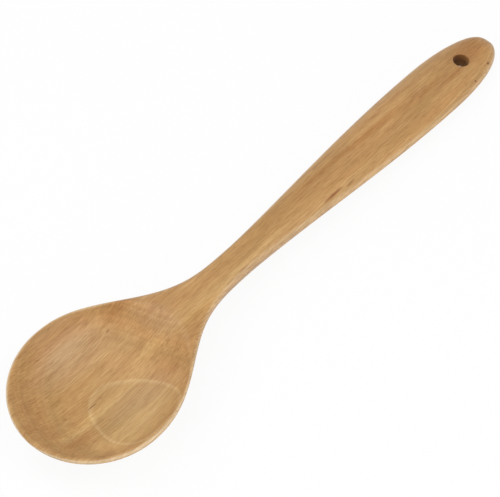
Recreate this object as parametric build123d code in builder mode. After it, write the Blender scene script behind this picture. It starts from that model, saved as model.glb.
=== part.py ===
from build123d import *

import os
from math import atan2, cos, degrees, pi, radians, sin

# A one-piece carved wooden spoon for cooking: a round bowl hollowed from above, a shoulder that
# runs into a slim neck, and a flat handle that widens to a rounded end with a hanging hole.
# It is carved about its rim plane, the flat that holds the rim and the top of the neck, and is
# then laid down as it rests on a table, on the bowl's belly and the underside of the handle.

# Lengths: the bowl's front half, the shoulder from there to the neck's slimmest place, the
# handle from there to its widest place, and the rounded end
bowl_front_length = 36.3
shoulder_length = 86.0
handle_length = 131.7
handle_end_length = 46.0
end_thinning = 9.0

# Widths
bowl_width = 69.7
neck_width = 13.9
handle_width = 29.0

# Thicknesses under the rim plane
bowl_height = 18.0
neck_thickness = 13.0
handle_thickness = 8.5

# How far the handle's end has dropped below the rim plane
handle_sag = 2.0

# How far the widest line of a section lies below the rim plane
lip_drop = 1.8
neck_drop = 3.6
handle_drop = 5.0

# How far the easing of a section's upper corners reaches in from its side, and how much more
# half way along the shoulder
lip_corner = 2.0
neck_corner = 2.6
handle_corner = 10.0
shoulder_corner = 3.5

# How far round its curve, in degrees, the bowl's belly starts: 0 would leave the lip upright
belly_lean = 33.0

# The bowl's hollow: an egg-shaped dish whose own centre stands above the rim plane
lip_width = 1.8
hollow_depth = 13.0
hollow_rear_length = 40.5
hollow_centre_rise = 12.0

# The hanging hole
hole_diameter = 7.6
hole_from_end = 22.5

# Powers of the curves that the widths and thicknesses follow
shoulder_plan_powers = (2.2, 4.3)
shoulder_side_powers = (2.6, 2.2)
handle_plan_power = 1.33
end_plan_power = 2.3

# Steps between sections along each stretch
front_steps = 12
shoulder_steps = 18
handle_steps = 12
end_steps = 12

# Angles in degrees: the foremost and the last section on the quarter turns that close the ends
# in plan, and the points on a quarter turn that an eased corner's flats run between
front_angle = 4
end_angle = 86
corner_angles = (0, 30, 60, 90)


def between(start, end, share):
    """The value at a share of the way from start to end."""
    return start + (end - start) * share


def falling(share, powers):
    """A bell-shaped fall from 1 to 0 that starts and ends level."""
    return (1 - share ** powers[0]) ** powers[1]


def round_off(distance, length):
    """The share of full size at a distance inside an end that is rounded over a length."""
    reach = max(0, 1 - distance / length)
    return (1 - reach**2) ** 0.5


def sag(place):
    """How far the spoon has dropped below the rim plane: from the neck on, more and more."""
    past_neck = max(0, place - bowl_front_length - shoulder_length)
    return handle_sag * (past_neck / (handle_length + handle_end_length)) ** 2


def shoulder_thickness(along):
    """The thickness under the rim plane at a share of the way along the shoulder."""
    return between(neck_thickness, bowl_height, falling(along, shoulder_side_powers))


def section(place, width, corner, drop, above, below, lean=0):
    """A section across the spoon: a flat top with eased corners over an arc of an ellipse."""
    half = width / 2
    flat = half - corner
    turns = [radians(angle) for angle in corner_angles]
    right = [(flat + corner * cos(turn), above * sin(turn)) for turn in turns]
    left = [(-across, up) for across, up in reversed(right)]
    depth = below / (1 - sin(radians(lean)))
    across_spoon = Plane(origin=(place, 0, -drop - sag(place)), x_dir=(0, 1, 0), z_dir=(1, 0, 0))
    with BuildSketch(across_spoon) as outline:
        with BuildLine():
            Polyline(*right, *left)
            EllipticalCenterArc(
                (0, depth * sin(radians(lean))),
                half / cos(radians(lean)),
                depth,
                start_angle=180 + lean,
                arc_size=180 - 2 * lean,
            )
        make_face()
    return outline.sketch


def front_sections():
    """The round front of the bowl, up to its widest section."""
    sections = []
    for step in range(front_steps + 1):
        turn = radians(between(front_angle, 90, step / front_steps))
        place = bowl_front_length * (1 - cos(turn))
        width = bowl_width * sin(turn)
        full = round_off(place, lip_drop)
        corner = lip_corner * full
        lean = sin(radians(belly_lean))
        arch = (1 - (cos(turn) * cos(radians(belly_lean))) ** 2) ** 0.5
        below = (bowl_height - lip_drop) * (arch - lean) / (1 - lean)
        sections.append(section(place, width, corner, lip_drop, lip_drop * full, below, belly_lean))
    return sections


def shoulder_sections():
    """From behind the bowl's widest section to the neck."""
    sections = []
    for step in range(1, shoulder_steps + 1):
        along = step / shoulder_steps
        width_share = falling(along, shoulder_plan_powers)
        place = bowl_front_length + shoulder_length * along
        width = between(neck_width, bowl_width, width_share)
        thickness = shoulder_thickness(along)
        drop = between(neck_drop, lip_drop, width_share)
        corner = between(neck_corner, lip_corner, width_share) + shoulder_corner * sin(pi * along) ** 4
        lean = belly_lean * width_share
        sections.append(section(place, width, corner, drop, drop, thickness - drop, lean))
    return sections


def handle_sections():
    """The handle, which widens from the neck and gently levels off."""
    sections = []
    for step in range(1, handle_steps + 1):
        along = step / handle_steps
        growth = sin(pi / 2 * along) ** handle_plan_power
        place = bowl_front_length + shoulder_length + handle_length * along
        width = between(neck_width, handle_width, growth)
        thickness = between(neck_thickness, handle_thickness, growth)
        drop = between(neck_drop, handle_drop, growth)
        corner = between(neck_corner, handle_corner, growth)
        sections.append(section(place, width, corner, drop, drop, thickness - drop))
    return sections


def end_sections():
    """The rounded end of the handle, thinned to a soft edge all round."""
    sections = []
    for step in range(1, end_steps + 1):
        turn = radians(end_angle * step / end_steps)
        place = spoon_length - handle_end_length * (1 - sin(turn) ** (2 / end_plan_power))
        width = handle_width * cos(turn) ** (2 / end_plan_power)
        full = round_off(spoon_length - place, end_thinning)
        corner = handle_corner * width / handle_width
        above = handle_drop * full
        below = (handle_thickness - handle_drop) * full
        sections.append(section(place, width, corner, handle_drop, above, below))
    return sections


def hollow_half(length, facing):
    """Half of the hollow, a quarter dish turned half round and stretched along the spoon."""
    half_width = bowl_width / 2 - lip_width
    dish_height = hollow_depth + hollow_centre_rise
    dish_radius = half_width / (1 - (hollow_centre_rise / dish_height) ** 2) ** 0.5
    with BuildPart() as half:
        with BuildSketch(Plane.XZ):
            with BuildLine():
                EllipticalCenterArc((0, 0), dish_radius, dish_height, start_angle=-90, arc_size=90)
                Polyline((dish_radius, 0), (0, 0), (0, -dish_height))
            make_face()
        revolve(axis=Axis.Z, revolution_arc=360)
        split(bisect_by=Plane.YZ, keep=Keep.TOP if facing > 0 else Keep.BOTTOM)
        scale(by=(length / half_width, 1, 1))
    return half.part


spoon_length = bowl_front_length + shoulder_length + handle_length + handle_end_length

with BuildPart() as carved:
    loft([*front_sections(), *shoulder_sections(), *handle_sections(), *end_sections()], ruled=True)
    with Locations((bowl_front_length, 0, hollow_centre_rise)):
        add(hollow_half(bowl_front_length - lip_width, -1), mode=Mode.SUBTRACT)
        add(hollow_half(hollow_rear_length, 1), mode=Mode.SUBTRACT)
    with Locations((spoon_length - hole_from_end, 0, 0)):
        Hole(hole_diameter / 2)

os.makedirs("parts", exist_ok=True)

# Laid down: the handle tips until its end touches the table that the belly rests on
end_contact = spoon_length - end_thinning
end_depth = handle_thickness + sag(end_contact)
rest_slope = 0
for step in range(shoulder_steps + 1):
    along = step / shoulder_steps
    run = end_contact - bowl_front_length - shoulder_length * along
    rest_slope = max(rest_slope, atan2(shoulder_thickness(along) - end_depth, run))
laid = carved.part.rotate(Axis.Y, degrees(rest_slope))
box = laid.bounding_box()
with BuildPart() as spoon:
    with Locations((-box.center().X, -box.center().Y, -box.min.Z)):
        add(laid)
spoon.part.label = "spoon"
export_step(spoon.part, "parts/spoon.step")
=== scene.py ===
from collections import namedtuple
from math import atan2, cos, pi, radians, sin, sqrt

import bmesh
import bpy
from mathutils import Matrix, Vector


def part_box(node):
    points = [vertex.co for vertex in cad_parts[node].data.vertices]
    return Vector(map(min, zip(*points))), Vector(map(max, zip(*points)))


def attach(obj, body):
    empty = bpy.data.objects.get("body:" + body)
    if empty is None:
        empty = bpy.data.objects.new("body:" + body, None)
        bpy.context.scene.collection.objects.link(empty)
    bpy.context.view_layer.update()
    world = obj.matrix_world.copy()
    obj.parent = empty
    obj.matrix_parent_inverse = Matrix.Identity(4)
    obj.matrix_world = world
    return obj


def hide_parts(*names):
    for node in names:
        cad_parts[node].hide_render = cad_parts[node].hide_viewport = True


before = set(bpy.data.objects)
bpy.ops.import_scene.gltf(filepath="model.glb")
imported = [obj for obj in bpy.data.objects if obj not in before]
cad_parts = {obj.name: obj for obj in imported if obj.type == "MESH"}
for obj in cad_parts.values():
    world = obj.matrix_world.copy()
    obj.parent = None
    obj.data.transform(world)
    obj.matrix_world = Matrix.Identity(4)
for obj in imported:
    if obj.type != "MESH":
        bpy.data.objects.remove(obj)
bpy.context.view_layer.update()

# Sizes of the spoon in millimetres, as in the part's source
bowl_front_length = 36.3
shoulder_length = 86.0
handle_length = 131.7
handle_end_length = 46.0
end_thinning = 9.0
bowl_width = 69.7
neck_width = 13.9
handle_width = 29.0
bowl_height = 18.0
neck_thickness = 13.0
handle_thickness = 8.5
handle_sag = 2.0
lip_drop = 1.8
neck_drop = 3.6
handle_drop = 5.0
lip_corner = 2.0
neck_corner = 2.6
handle_corner = 10.0
shoulder_corner = 3.5
belly_lean = 30.0
lip_width = 1.8
hollow_depth = 13.0
hollow_rear_length = 40.5
hollow_centre_rise = 12.0
hole_diameter = 7.6
hole_from_end = 22.5
shoulder_plan_powers = (2.2, 4.3)
shoulder_side_powers = (2.6, 2.2)
handle_plan_power = 1.33
end_plan_power = 2.3
shoulder_steps = 18

neck_place = bowl_front_length + shoulder_length
end_place = neck_place + handle_length
spoon_length = end_place + handle_end_length
hole_place = spoon_length - hole_from_end

# How soft the hollow's edge is at the lip and where it runs out into the shoulder
lip_softness = 0.9
shoulder_softness = 5.0

# Where the soft run-out starts behind the bowl's widest place and the length in which it
# grows, then how far it reaches from the middle in full and the width in which it fades
soft_from = 15.0
soft_run = 25.0
soft_half = 6.0
soft_fade = 12.0

# The power of the curve that the hollow's rear edge follows in plan
hollow_rear_power = 2.5

# The easing of the hanging hole's edges
hole_ease = 0.5


# Shape of the spoon

def between(start, end, share):
    return start + (end - start) * share


def falling(share, powers):
    return (1 - share ** powers[0]) ** powers[1]


def round_off(distance, length):
    reach = max(0.0, 1 - distance / length)
    return sqrt(max(0.0, 1 - reach * reach))


def smooth_step(share):
    share = min(1.0, max(0.0, share))
    return share * share * (3 - 2 * share)


def sag(place):
    past_neck = max(0.0, place - neck_place)
    return handle_sag * (past_neck / (handle_length + handle_end_length)) ** 2


def shoulder_thickness(along):
    return between(neck_thickness, bowl_height, falling(along, shoulder_side_powers))


Section = namedtuple("Section", "half corner drop above below lean")


def section(place):
    """Half width, corner reach, drop, height above, depth below the widest line, and lean."""
    lean = radians(belly_lean)
    if place < bowl_front_length:
        level = 1 - place / bowl_front_length
        full = round_off(place, lip_drop)
        arch = sqrt(1 - (level * cos(lean)) ** 2)
        return Section(
            half=bowl_width / 2 * sqrt(max(0.0, 1 - level * level)),
            corner=lip_corner * full,
            drop=lip_drop,
            above=lip_drop * full,
            below=(bowl_height - lip_drop) * (arch - sin(lean)) / (1 - sin(lean)),
            lean=lean,
        )
    if place < neck_place:
        along = (place - bowl_front_length) / shoulder_length
        share = falling(along, shoulder_plan_powers)
        drop = between(neck_drop, lip_drop, share)
        return Section(
            half=between(neck_width, bowl_width, share) / 2,
            corner=between(neck_corner, lip_corner, share) + shoulder_corner * sin(pi * along) ** 4,
            drop=drop,
            above=drop,
            below=shoulder_thickness(along) - drop,
            lean=lean * share,
        )
    if place < end_place:
        growth = sin(pi / 2 * (place - neck_place) / handle_length) ** handle_plan_power
        drop = between(neck_drop, handle_drop, growth)
        return Section(
            half=between(neck_width, handle_width, growth) / 2,
            corner=between(neck_corner, handle_corner, growth),
            drop=drop,
            above=drop,
            below=between(neck_thickness, handle_thickness, growth) - drop,
            lean=0.0,
        )
    along = min(1.0, (place - end_place) / handle_end_length)
    narrowing = (1 - along ** end_plan_power) ** (1 / end_plan_power)
    full = round_off(spoon_length - place, end_thinning)
    return Section(
        half=handle_width / 2 * narrowing,
        corner=handle_corner * narrowing,
        drop=handle_drop,
        above=handle_drop * full,
        below=(handle_thickness - handle_drop) * full,
        lean=0.0,
    )


hollow_half_width = bowl_width / 2 - lip_width
hollow_height = hollow_depth + hollow_centre_rise
hollow_spread = 1 / sqrt(1 - (hollow_centre_rise / hollow_height) ** 2)


def hollow_reach(place, across):
    """Squared share of the way from the hollow's centre to its widest line."""
    if place < bowl_front_length:
        length = (bowl_front_length - lip_width) * hollow_spread
        power = 2.0
    else:
        length = hollow_rear_length * hollow_spread
        power = hollow_rear_power
    along = abs(place - bowl_front_length) / length
    aside = abs(across) / (hollow_half_width * hollow_spread)
    return (along ** power + aside ** power) ** (2 / power)


def hollow_floor(place, across):
    reach = hollow_reach(place, across)
    if reach < 1:
        return hollow_centre_rise - hollow_height * sqrt(1 - reach)
    return hollow_centre_rise + hollow_height * (reach - 1)


def hollow_edge(place):
    """How far from the middle line the hollow meets the rim plane."""
    if place < bowl_front_length:
        share = (bowl_front_length - place) / (bowl_front_length - lip_width)
        power = 2.0
    else:
        share = (place - bowl_front_length) / hollow_rear_length
        power = hollow_rear_power
    return hollow_half_width * max(0.0, 1 - share ** power) ** (1 / power)


def softened(place, across, height):
    """The skin's height, lowered into the hollow with a soft edge."""
    floor = hollow_floor(place, across)
    rear = smooth_step((place - bowl_front_length - soft_from) / soft_run)
    inside = 1 - smooth_step((abs(across) - soft_half) / soft_fade)
    softness = between(lip_softness, shoulder_softness, rear * inside)
    overlap = max(0.0, softness - abs(height - floor)) / softness
    return min(height, floor) - overlap * overlap * softness / 4


def top_height(place, across):
    shape = section(place)
    past_flat = max(0.0, abs(across) - (shape.half - shape.corner))
    share = min(1.0, past_flat / shape.corner)
    height = -shape.drop + shape.above * sqrt(1 - share * share)
    return softened(place, across, height) - sag(place)


def under_height(place, across):
    shape = section(place)
    share = min(1.0, abs(across) / shape.half) * cos(shape.lean)
    depth = shape.below / (1 - sin(shape.lean))
    return -shape.drop - depth * (sqrt(1 - share * share) - sin(shape.lean)) - sag(place)


# Grid of rings along the spoon

front_rings = 72
shoulder_rings = 140
handle_rings = 96
end_rings = 60
places = []
for step in range(1, front_rings + 1):
    places.append(bowl_front_length * (1 - cos(pi / 2 * step / front_rings)))
for step in range(1, shoulder_rings + 1):
    places.append(bowl_front_length + shoulder_length * step / shoulder_rings)
for step in range(1, handle_rings + 1):
    places.append(neck_place + handle_length * step / handle_rings)
for step in range(1, end_rings):
    places.append(end_place + handle_end_length * sin(pi / 2 * step / end_rings) ** (2 / end_plan_power))

# Points of a ring: round an upper corner, across half the top and along the underside
corner_points = 10
half_band = 34
under_points = 56

# How far inside and outside the hollow's edge the strip of close points reaches, the shares of
# a row's points between which it lies, and how far out the edge is once it has them all
edge_inside = 2.5
edge_outside = 0.8
inner_share = 0.45
outer_share = 0.92
follow_from = 8.0


def band(place, flat):
    """Points across half the flat top, closer together at the hollow's edge."""
    edge = hollow_edge(place)
    inner = max(0.0, edge - edge_inside)
    outer = min(flat, edge + edge_outside)
    follow = smooth_step(edge / follow_from)
    row = []
    for step in range(half_band + 1):
        share = step / half_band
        if share < inner_share:
            close = inner * share / inner_share
        elif share < outer_share:
            close = between(inner, outer, (share - inner_share) / (outer_share - inner_share))
        else:
            close = between(outer, flat, (share - outer_share) / (1 - outer_share))
        row.append(between(flat * share, close, follow))
    return row


def ring_points(place):
    """Points round the spoon: over the top from the side towards +Y, then back below."""
    shape = section(place)
    flat = shape.half - shape.corner
    low = sag(place)
    upper = []
    for step in range(corner_points):
        turn = pi / 2 * step / corner_points
        across = flat + shape.corner * cos(turn)
        height = softened(place, across, -shape.drop + shape.above * sin(turn))
        upper.append((across, height - low))
    for across in reversed(band(place, flat)):
        height = softened(place, across, shape.above - shape.drop)
        upper.append((across, height - low))
    ring = [(place, across, height) for across, height in upper]
    ring += [(place, -across, height) for across, height in reversed(upper[:-1])]
    depth = shape.below / (1 - sin(shape.lean))
    for step in range(1, under_points):
        turn = pi + shape.lean + (pi - 2 * shape.lean) * step / under_points
        across = shape.half * cos(turn) / cos(shape.lean)
        ring.append((place, across, -shape.drop + depth * (sin(turn) + sin(shape.lean)) - low))
    return ring


rings = [ring_points(place) for place in places]
around = len(rings[0])
top_count = 2 * corner_points + 2 * half_band + 1
points = [point for ring in rings for point in ring]
front_tip = len(points)
points.append((0.0, 0.0, -lip_drop))
back_tip = len(points)
points.append((spoon_length, 0.0, -handle_drop - sag(spoon_length)))

# The hanging hole: the grid round it gives way to a patch whose rows close in on the hole
window = 7.0
window_rings = [i for i, place in enumerate(places) if abs(place - hole_place) < window]
first, last = window_rings[0], window_rings[-1]
middle = rings[(first + last) // 2]
top_columns = [j for j in range(top_count) if abs(middle[j][1]) < window]
under_columns = [j for j in range(top_count, around) if abs(middle[j][1]) < window]
windows = ((top_columns[0], top_columns[-1]), (under_columns[0], under_columns[-1]))

faces = []
for i in range(len(rings) - 1):
    for j in range(around):
        if first <= i < last and any(left <= j < right for left, right in windows):
            continue
        after = (j + 1) % around
        here, ahead = i * around, (i + 1) * around
        faces.append((here + j, ahead + j, ahead + after, here + after))
for j in range(around):
    after = (j + 1) % around
    faces.append((front_tip, j, after))
    base = (len(rings) - 1) * around
    faces.append((back_tip, base + after, base + j))

radius = hole_diameter / 2
patch_rows = 7
ease_rows = 5


def loop_of(left, right):
    """Indices of the points round a window of the grid."""
    loop = [first * around + j for j in range(left, right)]
    loop += [i * around + right for i in range(first, last)]
    loop += [last * around + j for j in range(right, left, -1)]
    loop += [i * around + left for i in range(last, first, -1)]
    return loop


def add_row(row):
    start = len(points)
    points.extend(row)
    return list(range(start, start + len(row)))


def join(outer, inner):
    for k in range(len(outer)):
        after = (k + 1) % len(outer)
        faces.append((outer[k], outer[after], inner[after], inner[k]))


def patch(loop, surface, inward):
    """Rows from the window to the hole, over its eased edge and on to the hole's wall."""
    angles = [atan2(points[v][1], points[v][0] - hole_place) for v in loop]
    outer = loop
    rim = radius + hole_ease
    for row in range(1, patch_rows + 1):
        share = row / patch_rows
        line = []
        for v, angle in zip(loop, angles):
            x = between(points[v][0], hole_place + rim * cos(angle), share)
            y = between(points[v][1], rim * sin(angle), share)
            line.append((x, y, surface(x, y)))
        inner = add_row(line)
        join(outer, inner)
        outer = inner
    heights = [points[v][2] for v in outer]
    for row in range(1, ease_rows + 1):
        turn = pi / 2 * row / ease_rows
        reach = rim - hole_ease * sin(turn)
        sink = inward * hole_ease * (1 - cos(turn))
        line = []
        for angle, height in zip(angles, heights):
            line.append((hole_place + reach * cos(angle), reach * sin(angle), height + sink))
        inner = add_row(line)
        join(outer, inner)
        outer = inner
    return outer, angles


top_loop, top_angles = patch(loop_of(*windows[0]), top_height, -1)
under_loop, under_angles = patch(loop_of(*windows[1]), under_height, 1)


def by_angle(loop, angles):
    order = sorted(range(len(loop)), key=lambda k: angles[k])
    return [loop[k] for k in order], [angles[k] for k in order]


top_loop, top_angles = by_angle(top_loop, top_angles)
under_loop, under_angles = by_angle(under_loop, under_angles)
top_loop.append(top_loop[0])
top_angles.append(top_angles[0] + 2 * pi)
under_loop.append(under_loop[0])
under_angles.append(under_angles[0] + 2 * pi)
a, b = 0, 0
while a < len(top_loop) - 1 or b < len(under_loop) - 1:
    if b == len(under_loop) - 1 or (a < len(top_loop) - 1 and top_angles[a + 1] <= under_angles[b + 1]):
        faces.append((top_loop[a], top_loop[a + 1], under_loop[b]))
        a += 1
    else:
        faces.append((top_loop[a], under_loop[b + 1], under_loop[b]))
        b += 1

# Laid down as the part is: tipped until the handle's end touches the table
end_contact = spoon_length - end_thinning
end_depth = handle_thickness + sag(end_contact)
slope = max(
    atan2(shoulder_thickness(step / shoulder_steps) - end_depth,
          end_contact - bowl_front_length - shoulder_length * step / shoulder_steps)
    for step in range(shoulder_steps + 1)
)
laid = [(x * cos(slope) + z * sin(slope), y, z * cos(slope) - x * sin(slope)) for x, y, z in points]
box_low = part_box("spoon")[0]
shift_x = box_low[0] - min(point[0] for point in laid) / 1000
shift_z = box_low[2] - min(point[2] for point in laid) / 1000
laid = [(x / 1000 + shift_x, y / 1000, z / 1000 + shift_z) for x, y, z in laid]

# How far inside the side the painted highlight along the upper edge lies, how far that reaches, how much
# is left of it on the handle, and the run behind the bowl's widest place in which it fades
highlight_inset = 0.5
highlight_reach = 0.9
handle_highlight = 0.4
highlight_run = 50.0


def edge_highlight_share(place, across, height):
    """How strongly the painted highlight lightens the edge of the upper side: most along the bowl's lip.
    """
    shape = section(place)
    if height < -shape.drop - sag(place):
        return 0.0
    highlight_share = between(1.0, handle_highlight, smooth_step((place - bowl_front_length) / highlight_run))
    return highlight_share * max(0.0, 1 - abs(abs(across) - (shape.half - highlight_inset)) / highlight_reach)


mesh = bpy.data.meshes.new("carved_spoon")
mesh.from_pydata(laid, [], faces)
# Each point's share of the painted highlight along the upper edge, kept for the material
edge_highlight = mesh.attributes.new("edge_highlight", "FLOAT", "POINT")
for index, point in enumerate(points):
    edge_highlight.data[index].value = edge_highlight_share(*point)
shell = bmesh.new()
shell.from_mesh(mesh)
bmesh.ops.recalc_face_normals(shell, faces=shell.faces)
shell.to_mesh(mesh)
shell.free()
for polygon in mesh.polygons:
    polygon.use_smooth = True
spoon = bpy.data.objects.new("carved_spoon", mesh)
bpy.context.scene.collection.objects.link(spoon)


# Beech

# Base colours from the dark to the pale streaks
dark_beech = (0.474, 0.250, 0.086)
beech_colour = (0.528, 0.298, 0.110)
pale_beech = (0.580, 0.350, 0.140)

# Growth rings in millimetres: where the pith line runs beside and above the spoon, the radius
# that the rings are counted from, their spacing, and how far they wander
pith_aside = 11.0
pith_height = 83.0
first_ring = 26.1
ring_spacing = 5.2
ring_wander = 1.6
fine_ring_rate = 4.6

# Tones that the wood is multiplied by
late_tone = (0.80, 0.84, 0.80)
fine_ring_tone = (0.86, 0.83, 0.80)
fleck_tone = (0.58, 0.38, 0.25)
dark = (0.62, 0.50, 0.42)
olive = (0.80, 0.82, 0.76)
orange = (0.86, 0.74, 0.62)
pale = (1.16, 1.20, 1.20)
# The tone of a painted sheen, pink and pale
rosy_sheen = (1.01, 1.06, 1.28)
brown_speck = (0.40, 0.22, 0.12)
deep_hole = (0.38, 0.27, 0.14)
lit_hole = (0.78, 0.70, 0.56)

# Colours of the line between rings and of the painted highlight along the upper edge
ring_line_colour = (0.70, 0.50, 0.25)
edge_highlight_colour = (0.84, 0.68, 0.45)

# The hanging hole's axis in millimetres: where it meets the table, and how far it leans along
# the spoon for each millimetre of height; then the distance from it at which the wall begins
hole_foot = 127.2
hole_lean = 0.0318
hole_wall = 3.6

# Centre, reach and strength of each mark, in millimetres, and its tone; besides the wood's own streaks
# and marks, some are painted highlights, sheen and shade, noted at each
wood_marks_and_painted_light = [
    # Painted sheen, paler and greyer, over the middle of the hollow
    ((-115, -2, 7), (42, 34, 16), 0.8, (1.03, 1.09, 1.12)),
    ((-121, -5.5, 9), (34, 2.8, 12), 1.0, pale),
    ((-86, -2.0, 11), (22, 3.5, 8), 0.7, pale),
    ((-134, -11, 11), (11, 3.0, 8), 0.9, orange),
    ((-112, -15, 8), (18, 4.0, 8), 0.6, olive),
    # Painted light, pale and greyer, on the bowl's near inner wall
    ((-116, -23, 12), (26, 12.0, 11), 1.0, (1.22, 1.33, 1.45)),
    ((-86, -14, 11), (10, 8.0, 8), 0.4, orange),
    # Painted sheen, pink and pale, on the hollow's far wall
    ((-110, 20, 10), (26, 12.0, 10), 1.0, rosy_sheen),
    # Painted sheen, pale and bluish, on the hollow's rear run-out
    ((-74, 3, 16), (9, 14.0, 7), 0.9, (0.97, 0.99, 1.16)),
    ((-82, 20, 15), (12, 7.0, 8), 0.7, orange),
    ((-139, 6, 14), (7, 16, 9), 0.4, orange),
    # A pale line with a painted highlight along the shoulder's near ridge
    ((-60, -7.0, 16), (24, 3.0, 5), 1.0, pale),
    # A pale line with a painted highlight along the neck's near ridge
    ((-22, -4.3, 15), (44, 1.3, 5), 1.0, (1.22, 1.34, 1.50)),
    ((30, 4, 14), (24, 1.8, 6), 0.7, orange),
    ((64, 3, 12), (26, 2.4, 6), 0.9, orange),
    ((98, 0, 11), (24, 2.2, 6), 0.9, orange),
    ((118, -3, 9), (12, 2.0, 6), 0.9, orange),
    # Painted shade darkening the handle's end beyond the hole
    ((135, 0, 8), (13, 8.0, 6), 0.9, orange),
    ((24.5, -8, 13), (7, 0.8, 4), 1.0, (0.52, 0.32, 0.20)),
    ((35, -9, 12.5), (3.5, 0.5, 3), 0.8, dark),
    ((-31.5, -6, 15.5), (3.5, 0.5, 3), 0.7, dark),
    ((136.5, -9.5, 7), (1.0, 0.7, 2), 1.0, brown_speck),
    ((123.5, -12, 7.5), (0.7, 0.6, 2), 1.0, brown_speck),
    ((-70.5, -15.5, 17), (0.8, 0.5, 2), 1.0, brown_speck),
    ((-76.5, -19.5, 17), (0.7, 0.5, 2), 0.8, brown_speck),
    ((-90.5, 17, 10), (1.2, 0.6, 3), 0.9, dark),
    ((-118, -1.5, 5.5), (3.0, 0.5, 2), 0.9, dark),
]


def wood_material():
    material = bpy.data.materials.new("oiled_beech")
    material.use_nodes = True
    nodes, links = material.node_tree.nodes, material.node_tree.links
    shader = nodes["Principled BSDF"]
    shader.inputs["IOR"].default_value = 1.45
    shader.inputs["Specular IOR Level"].default_value = 0.40
    shader.inputs["Sheen Weight"].default_value = 0.08
    shader.inputs["Sheen Roughness"].default_value = 0.5

    def node(kind, **settings):
        made = nodes.new(kind)
        for name, value in settings.items():
            setattr(made, name, value)
        return made

    def math(operation, first_value, second_value=None, third_value=None):
        made = node("ShaderNodeMath", operation=operation)
        for index, value in enumerate((first_value, second_value, third_value)):
            if value is None:
                continue
            if isinstance(value, (int, float)):
                made.inputs[index].default_value = value
            else:
                links.new(value, made.inputs[index])
        return made.outputs[0]

    def stretched(vector, scale):
        made = node("ShaderNodeVectorMath", operation="MULTIPLY")
        links.new(vector, made.inputs[0])
        made.inputs[1].default_value = scale
        return made.outputs[0]

    def noise(vector, scale, detail=2.0, roughness=0.5):
        made = node("ShaderNodeTexNoise")
        links.new(stretched(vector, scale), made.inputs["Vector"])
        made.inputs["Scale"].default_value = 1.0
        made.inputs["Detail"].default_value = detail
        made.inputs["Roughness"].default_value = roughness
        return made.outputs["Fac"]

    def ramp(value, stops):
        made = node("ShaderNodeValToRGB")
        elements = made.color_ramp.elements
        elements[0].position, elements[0].color = stops[0][0], (*stops[0][1], 1)
        elements[1].position, elements[1].color = stops[-1][0], (*stops[-1][1], 1)
        for position, colour in stops[1:-1]:
            elements.new(position).color = (*colour, 1)
        links.new(value, made.inputs["Fac"])
        return made.outputs["Color"]

    def mix(kind, factor, first_colour, second_colour):
        made = node("ShaderNodeMix", data_type="RGBA", blend_type=kind)
        if isinstance(factor, (int, float)):
            made.inputs["Factor"].default_value = factor
        else:
            links.new(factor, made.inputs["Factor"])
        for socket, colour in ((made.inputs[6], first_colour), (made.inputs[7], second_colour)):
            if isinstance(colour, tuple):
                socket.default_value = (*colour, 1)
            else:
                links.new(colour, socket)
        return made.outputs[2]

    def grey(value):
        return (value, value, value)

    # Millimetres in the spoon's own frame
    place = node("ShaderNodeTexCoord")
    grain = stretched(place.outputs["Object"], (1000, 1000, 1000))
    split = node("ShaderNodeSeparateXYZ")
    links.new(grain, split.inputs[0])
    x, y, z = split.outputs

    # Growth rings about a pith line that lies far above the spoon
    wander = noise(grain, (0.010, 0.03, 0.03), 1.0)
    wander = math("MULTIPLY", math("SUBTRACT", wander, 0.5), ring_wander)
    pith_y = math("SUBTRACT", y, pith_aside)
    pith_z = math("SUBTRACT", pith_height, z)
    ring_radius = math("SQRT", math("ADD", math("POWER", pith_y, 2.0), math("POWER", pith_z, 2.0)))
    ring_radius = math("ADD", ring_radius, wander)
    ring = math("FRACT", math("DIVIDE", math("SUBTRACT", ring_radius, first_ring), ring_spacing))

    def by_radius(start, end, inside, outside):
        """A value that changes between two radii of the rings."""
        return ramp(math("MULTIPLY", ring_radius, 0.01), [
            (0.0, grey(inside)),
            (start / 100, grey(inside)),
            (end / 100, grey(outside)),
            (1.0, grey(outside)),
        ])

    late_wood = ramp(ring, [(0.0, grey(0.2)), (0.06, grey(0.9)), (0.22, grey(1.0)), (0.55, grey(0.3)),
                            (0.80, grey(0.0)), (0.94, grey(0.45)), (1.0, grey(0.2))])
    pale_line = ramp(ring, [(0.0, grey(1.0)), (0.035, grey(0.5)), (0.07, grey(0.0)), (0.97, grey(0.0)),
                            (1.0, grey(1.0))])
    pale_line = math("MULTIPLY", math("MULTIPLY", pale_line, 0.36), by_radius(74.5, 77.5, 0.25, 1.0))
    fine_ring = math("SINE", math("MULTIPLY", ring_radius, fine_ring_rate))
    fine_ring = math("MULTIPLY_ADD", fine_ring, 0.5, 0.5)
    fine_ring = math("MULTIPLY", fine_ring, by_radius(73.5, 76.5, 1.0, 0.35))

    # Long streaks, fine fibres and short dark flecks along the grain
    streaks = noise(grain, (0.010, 0.22, 0.12), 3.0, 0.6)
    cloud = noise(grain, (0.03, 0.06, 0.06), 2.0)
    fibre = noise(grain, (0.06, 1.5, 0.45), 3.0, 0.7)
    fleck = noise(grain, (0.36, 2.5, 0.9), 1.0)
    fleck = ramp(fleck, [(0.0, grey(0.0)), (0.61, grey(0.0)), (0.72, grey(1.0)), (1.0, grey(1.0))])

    colour = ramp(streaks, [(0.28, dark_beech), (0.5, beech_colour), (0.74, pale_beech)])
    colour = mix("MULTIPLY", math("MULTIPLY", late_wood, 0.44), colour, late_tone)
    colour = mix("MIX", pale_line, colour, ring_line_colour)
    colour = mix("MULTIPLY", math("MULTIPLY", fine_ring, 0.36), colour, fine_ring_tone)

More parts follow.
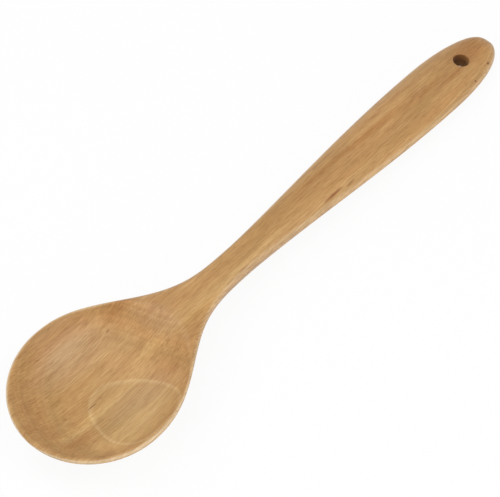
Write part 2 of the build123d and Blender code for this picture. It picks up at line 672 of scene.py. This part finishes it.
    # Long streaks and small marks of this one piece of wood, with painted highlights, sheen and shade
    # among them
    def mark(centre, reach):
        total = None
        for axis, middle, half_size in zip((x, y, z), centre, reach):
            share = math("DIVIDE", math("SUBTRACT", axis, middle), half_size)
            square = math("MULTIPLY", share, share)
            total = square if total is None else math("ADD", total, square)
        return math("MAXIMUM", math("SUBTRACT", 1.0, total), 0.0)

    for centre, reach, strength, tone in wood_marks_and_painted_light:
        colour = mix("MULTIPLY", math("MULTIPLY", mark(centre, reach), strength), colour, tone)

    # Painted highlight along the upper edges, soft clouding, fibres, pores and flecks
    attribute = node("ShaderNodeAttribute", attribute_name="edge_highlight")
    colour = mix("MIX", math("MULTIPLY", attribute.outputs["Fac"], 0.75), colour, edge_highlight_colour)
    colour = mix("MULTIPLY", 0.35, colour, ramp(cloud, [(0.3, grey(0.82)), (0.7, grey(1.0))]))
    fibre_tone = ramp(fibre, [(0.32, (0.75, 0.68, 0.59)), (0.62, (1.04, 1.04, 1.05))])
    colour = mix("MULTIPLY", 0.6, colour, fibre_tone)
    pores = noise(grain, (0.16, 3.0, 0.8), 1.0)
    pore_tone = ramp(pores, [(0.34, (0.74, 0.66, 0.58)), (0.58, (1.05, 1.05, 1.05))])
    colour = mix("MULTIPLY", 0.58, colour, pore_tone)
    colour = mix("MULTIPLY", math("MULTIPLY", fleck, 0.38), colour, fleck_tone)

    # The hanging hole's wall, deep in shade on one side and less so on the other
    hole_x = math("SUBTRACT", math("ADD", x, math("MULTIPLY", z, -hole_lean)), hole_foot)
    from_hole = math("SQRT", math("ADD", math("POWER", hole_x, 2.0), math("POWER", y, 2.0)))
    hole_side = math("SUBTRACT", math("MULTIPLY", hole_x, 0.09), math("MULTIPLY", y, 0.10))
    hole_side = math("MINIMUM", math("MAXIMUM", math("ADD", hole_side, 0.4), 0.0), 1.0)
    in_hole = ramp(math("SUBTRACT", from_hole, hole_wall), [
        (0.0, grey(1.0)), (0.25, grey(1.0)), (0.55, grey(0.0)), (1.0, grey(0.0)),
    ])
    hole_tone = mix("MIX", hole_side, deep_hole, lit_hole)
    colour = mix("MULTIPLY", in_hole, colour, hole_tone)
    links.new(math("MULTIPLY_ADD", in_hole, 0.5, 0.40), shader.inputs["Roughness"])
    links.new(colour, shader.inputs["Base Color"])

    bump = node("ShaderNodeBump")
    bump.inputs["Strength"].default_value = 0.12
    bump.inputs["Distance"].default_value = 0.0002
    links.new(fibre, bump.inputs["Height"])
    links.new(bump.outputs["Normal"], shader.inputs["Normal"])
    return material


beech = wood_material()
mesh.materials.append(beech)
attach(spoon, "root")
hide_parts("spoon")


# Floor, lights and camera

# The share of plain white in the floor as the camera sees it; the rest keeps the spoon's shadow
floor_glow = 0.92


def sees_backdrop(nodes, links):
    """1 for camera, glossy and transmission rays, which see the backdrop white, and 0 for others."""
    path = nodes.new("ShaderNodeLightPath")
    total = path.outputs["Is Camera Ray"]
    for ray in ("Is Glossy Ray", "Is Transmission Ray"):
        added = nodes.new("ShaderNodeMath")
        added.operation = "ADD"
        links.new(total, added.inputs[0])
        links.new(path.outputs[ray], added.inputs[1])
        total = added.outputs[0]
    return total


def pale_floor(name, colour):
    material = bpy.data.materials.new(name)
    material.use_nodes = True
    nodes, links = material.node_tree.nodes, material.node_tree.links
    shader = nodes["Principled BSDF"]
    shader.inputs["Base Color"].default_value = (*colour, 1)
    shader.inputs["Roughness"].default_value = 0.9
    shader.inputs["Specular IOR Level"].default_value = 0.1
    glow = nodes.new("ShaderNodeEmission")
    glow.inputs["Color"].default_value = (1, 1, 1, 1)
    glow.inputs["Strength"].default_value = 1.0
    share = nodes.new("ShaderNodeMath")
    share.operation = "MULTIPLY"
    links.new(sees_backdrop(nodes, links), share.inputs[0])
    share.inputs[1].default_value = floor_glow
    blend = nodes.new("ShaderNodeMixShader")
    links.new(share.outputs[0], blend.inputs[0])
    links.new(shader.outputs[0], blend.inputs[1])
    links.new(glow.outputs[0], blend.inputs[2])
    links.new(blend.outputs[0], nodes["Material Output"].inputs["Surface"])
    return material


floor_mesh = bpy.data.meshes.new("floor")
floor_half = 4.0
floor_corners = [(x * floor_half, y * floor_half, 0) for x, y in ((-1, -1), (1, -1), (1, 1), (-1, 1))]
floor_mesh.from_pydata(floor_corners, [], [(0, 1, 2, 3)])
floor_mesh.update()
floor = bpy.data.objects.new("floor", floor_mesh)
floor_mesh.materials.append(pale_floor("pale_floor", (0.86, 0.86, 0.86)))
bpy.context.scene.collection.objects.link(floor)

world = bpy.data.worlds.new("studio")
bpy.context.scene.world = world
world.use_nodes = True
nodes, links = world.node_tree.nodes, world.node_tree.links
background = nodes["Background"]
background.inputs["Color"].default_value = (1, 1, 1, 1)
background.inputs["Strength"].default_value = 0.43
white = nodes.new("ShaderNodeBackground")
white.inputs["Color"].default_value = (1, 1, 1, 1)
white.inputs["Strength"].default_value = 1.0
blend = nodes.new("ShaderNodeMixShader")
links.new(sees_backdrop(nodes, links), blend.inputs[0])
links.new(background.outputs[0], blend.inputs[1])
links.new(white.outputs[0], blend.inputs[2])
links.new(blend.outputs[0], nodes["World Output"].inputs["Surface"])


def area_light(name, location, target, size, watts):
    lamp = bpy.data.lights.new(name, "AREA")
    lamp.shape = "SQUARE"
    lamp.size = size
    lamp.energy = watts
    light = bpy.data.objects.new(name, lamp)
    light.location = location
    light.rotation_euler = (Vector(target) - Vector(location)).to_track_quat("-Z", "Y").to_euler()
    bpy.context.scene.collection.objects.link(light)


area_light("key_light", (-0.20, 0.12, 0.90), (-0.12, 0, 0), 0.40, 1.35)
area_light("back_light", (0.00, 0.75, 0.70), (-0.12, 0, 0), 0.5, 2.5)
area_light("window_light", (0.15, -0.42, 0.80), (-0.10, 0, 0), 0.30, 1.9)
area_light("near_light", (0.05, -0.80, 0.20), (-0.02, 0, 0), 0.5, 2.4)
area_light("front_light", (-0.90, 0.10, 0.47), (-0.10, 0, 0), 0.3, 2.5)

camera_data = bpy.data.cameras.new("camera")
camera_data.sensor_width = 36.0
camera_data.lens = 106.2
camera = bpy.data.objects.new("camera", camera_data)
camera.location = (-0.28528, -0.23011, 0.53965)
camera.rotation_euler = (radians(33.61), radians(-0.752), radians(-47.79))
bpy.context.scene.collection.objects.link(camera)
bpy.context.scene.camera = camera
bpy.context.scene.view_settings.view_transform = "Standard"
